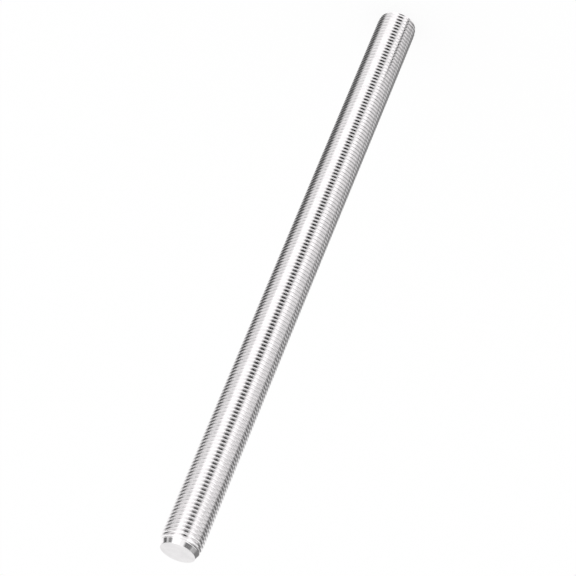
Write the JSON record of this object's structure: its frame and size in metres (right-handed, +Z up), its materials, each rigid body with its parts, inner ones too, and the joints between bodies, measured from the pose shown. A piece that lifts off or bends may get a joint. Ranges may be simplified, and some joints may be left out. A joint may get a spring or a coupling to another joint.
{
  "type": "threaded rod",
  "caption": "Fully threaded straight steel rod with a fine right-hand thread from end to end and a chamfer on each end, for clamping or joining parts with nuts.",
  "frame": {"origin": "centre of the lower end face", "axes": "+Z up along the rod's axis, from the lower end face to the upper one; X and Y lie across the rod, which is round, so they point any way"},
  "size_m": [0.0126, 0.0126, 0.2032],
  "materials": {
    "stainless_steel": "bright stainless steel, smooth on the rolled flanks, with fine turning marks on the end faces and chamfers"
  },
  "bodies": {
    "root": {"threaded_rod": "stainless_steel"}
  },
  "joints": []
}
